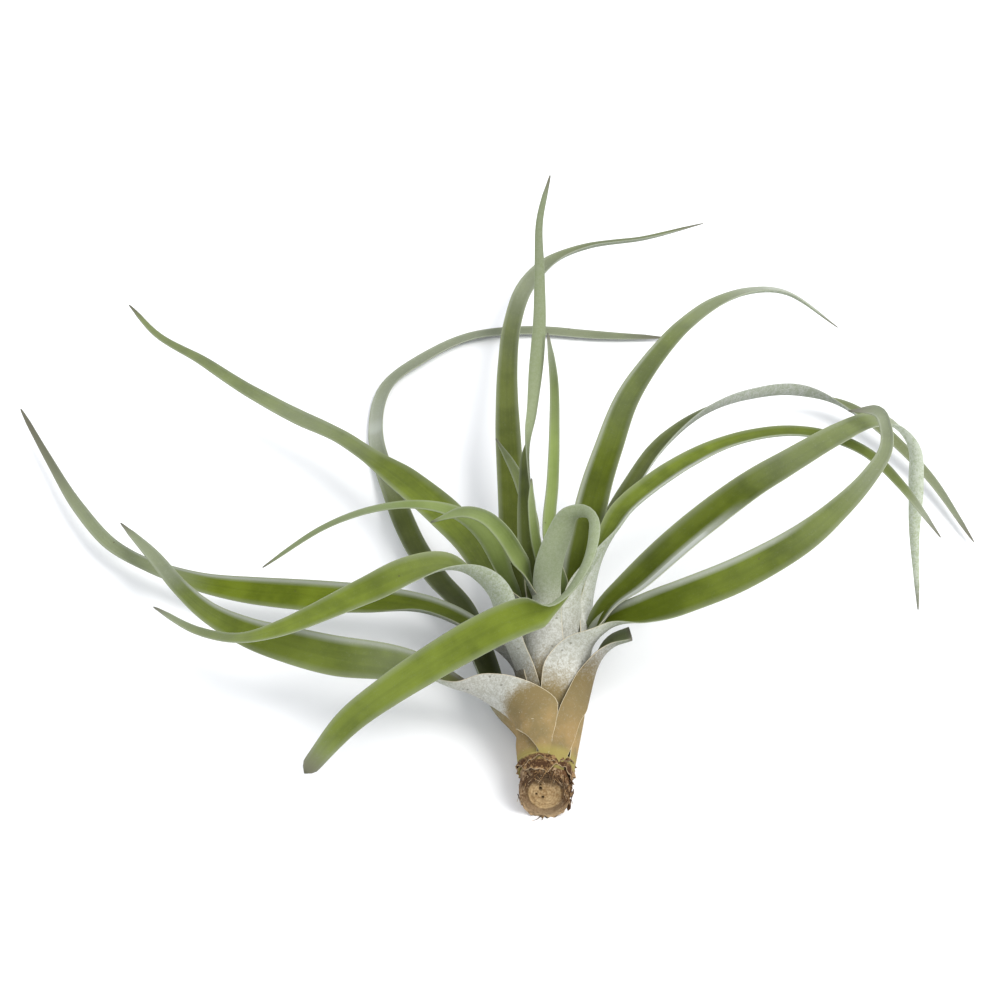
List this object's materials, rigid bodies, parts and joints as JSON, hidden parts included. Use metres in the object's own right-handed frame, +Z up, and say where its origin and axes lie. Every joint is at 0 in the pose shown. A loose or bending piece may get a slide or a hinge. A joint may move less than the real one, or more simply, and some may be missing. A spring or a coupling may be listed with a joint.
{
  "type": "air plant",
  "caption": "Soilless air plant lying on its side: a short cut stem whose clasping sheaths open into long, channelled, arching leaves.",
  "frame": {"origin": "flat spot under the stump, on the surface that the plant lies on", "axes": "+Z up, +Y from the stump towards the heart and the back leaves, +X to the right seen from the stump"},
  "size_m": [0.2884, 0.2357, 0.0765],
  "materials": {
    "stem": "rough, fibrous",
    "leaf": "satin, finely scaled",
    "young_leaf": "satin, finely scaled",
    "dry_sheath": "dry, matt"
  },
  "bodies": {
    "root": {"stem": "stem", "leaf_cut_stub": "leaf", "sheath_old": "dry_sheath", "leaf_low_left": "leaf", "leaf_loop": "leaf", "leaf_front_right": "leaf", "leaf_arch_left": "leaf", "leaf_far_left": "leaf", "leaf_upper_right": "leaf", "leaf_low_right": "leaf", "leaf_folded": "leaf", "leaf_back_left": "leaf", "leaf_middle_right": "leaf", "leaf_thin_left": "leaf", "leaf_back_low": "leaf", "leaf_high_arch": "leaf", "leaf_upright_tall": "leaf", "leaf_young_curl": "young_leaf", "leaf_upright_right": "young_leaf", "spike_left": "young_leaf", "spike_right": "young_leaf"}
  },
  "joints": []
}
